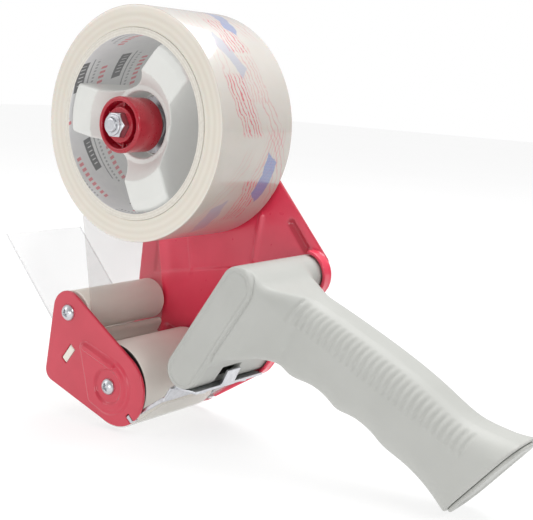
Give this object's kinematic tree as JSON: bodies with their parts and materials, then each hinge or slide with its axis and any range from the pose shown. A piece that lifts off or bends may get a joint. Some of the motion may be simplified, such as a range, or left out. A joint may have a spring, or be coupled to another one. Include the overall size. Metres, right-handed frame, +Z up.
{
  "type": "packing tape dispenser",
  "caption": "Hand-held pistol-grip dispenser for rolls of packing tape, with a hub brake, guide and applicator rollers, a wiper flap and a toothed cutting blade.",
  "frame": {"origin": "under the middle of the whole object, on the table it stands on", "axes": "+X to the rear, towards the butt of the grip; +Y from the open loading side to the side frame, along the hub axis; +Z up"},
  "size_m": [0.2638, 0.07, 0.186],
  "materials": {
    "red_enamel": "glossy stoved enamel",
    "grey_moulding": "satin moulded plastic",
    "cap_moulding": "satin moulded plastic",
    "white_moulding": "smooth moulded plastic",
    "knob_moulding": "smooth moulded plastic",
    "beige_roller": "fine matte moulding",
    "roller_core": "dark moulding",
    "sleeve_rubber": "smooth soft rubber",
    "guide_bar_moulding": "satin moulded plastic",
    "flap_film": "clear flexible film",
    "zinc_steel": "zinc plated",
    "blade_steel": "bright ground steel",
    "friction_fibre": "fibre friction disc",
    "bush_nylon": "natural nylon",
    "core_board": "wound grey and brown board",
    "tape_film": null
  },
  "bodies": {
    "frame": {"side_frame": "red_enamel", "near_ear": "red_enamel", "guide_bar": "guide_bar_moulding", "tape_flap": "flap_film", "flap_rivets": "zinc_steel", "guide_axle": "zinc_steel", "guide_screws": "zinc_steel", "applicator_axle": "zinc_steel", "applicator_screws": "zinc_steel", "blade_bracket": "zinc_steel", "blade": "blade_steel", "blade_rivets": "zinc_steel", "bracket_screws": "zinc_steel", "handle": "grey_moulding", "grip_cap": "cap_moulding", "handle_screws": "zinc_steel", "hub_bolt": "zinc_steel", "bolt_washer": "zinc_steel", "jam_nut": "zinc_steel", "pressure_washer": "zinc_steel", "tension_spring": "zinc_steel", "tape_web": "tape_film"},
    "hub": {"hub": "white_moulding", "hub_bush": "bush_nylon", "brake_washer": "friction_fibre", "tape_core": "core_board", "tape_roll": "tape_film"},
    "guide_roller": {"guide_roller": "beige_roller"},
    "applicator": {"applicator_core": "roller_core", "applicator_sleeve": "sleeve_rubber"},
    "thrust_washer": {"thrust_washer": "zinc_steel"},
    "knob": {"tension_knob": "knob_moulding", "lock_nut": "zinc_steel"}
  },
  "joints": [
    {"name": "hub_spin", "type": "hinge", "parent": "frame", "child": "hub", "pos_m": [-0.05081, 0.0015, 0.1355], "axis": [0, 1, 0], "continuous": true},
    {"name": "guide_spin", "type": "hinge", "parent": "frame", "child": "guide_roller", "pos_m": [-0.08121, 0.0015, 0.0484], "axis": [0, 1, 0], "continuous": true},
    {"name": "applicator_spin", "type": "hinge", "parent": "frame", "child": "applicator", "pos_m": [-0.05431, 0.0015, 0.01955], "axis": [0, 1, 0], "continuous": true},
    {"name": "brake_travel", "type": "slide", "parent": "frame", "child": "thrust_washer", "axis": [0, 1, 0], "range_m": [-0.001, 0.002], "deforming": ["tension_spring"]},
    {"name": "knob_turn", "type": "hinge", "parent": "thrust_washer", "child": "knob", "pos_m": [-0.05081, -0.0265, 0.1355], "axis": [0, 1, 0], "range_deg": [-360, 720]}
  ],
  "couplings": [
    {"joint": "guide_spin", "follows": "hub_spin", "ratio": 5.2062},
    {"joint": "applicator_spin", "follows": "hub_spin", "ratio": -2.6579},
    {"joint": "brake_travel", "follows": "knob_turn", "m_per_rad": 0.00015915}
  ]
}
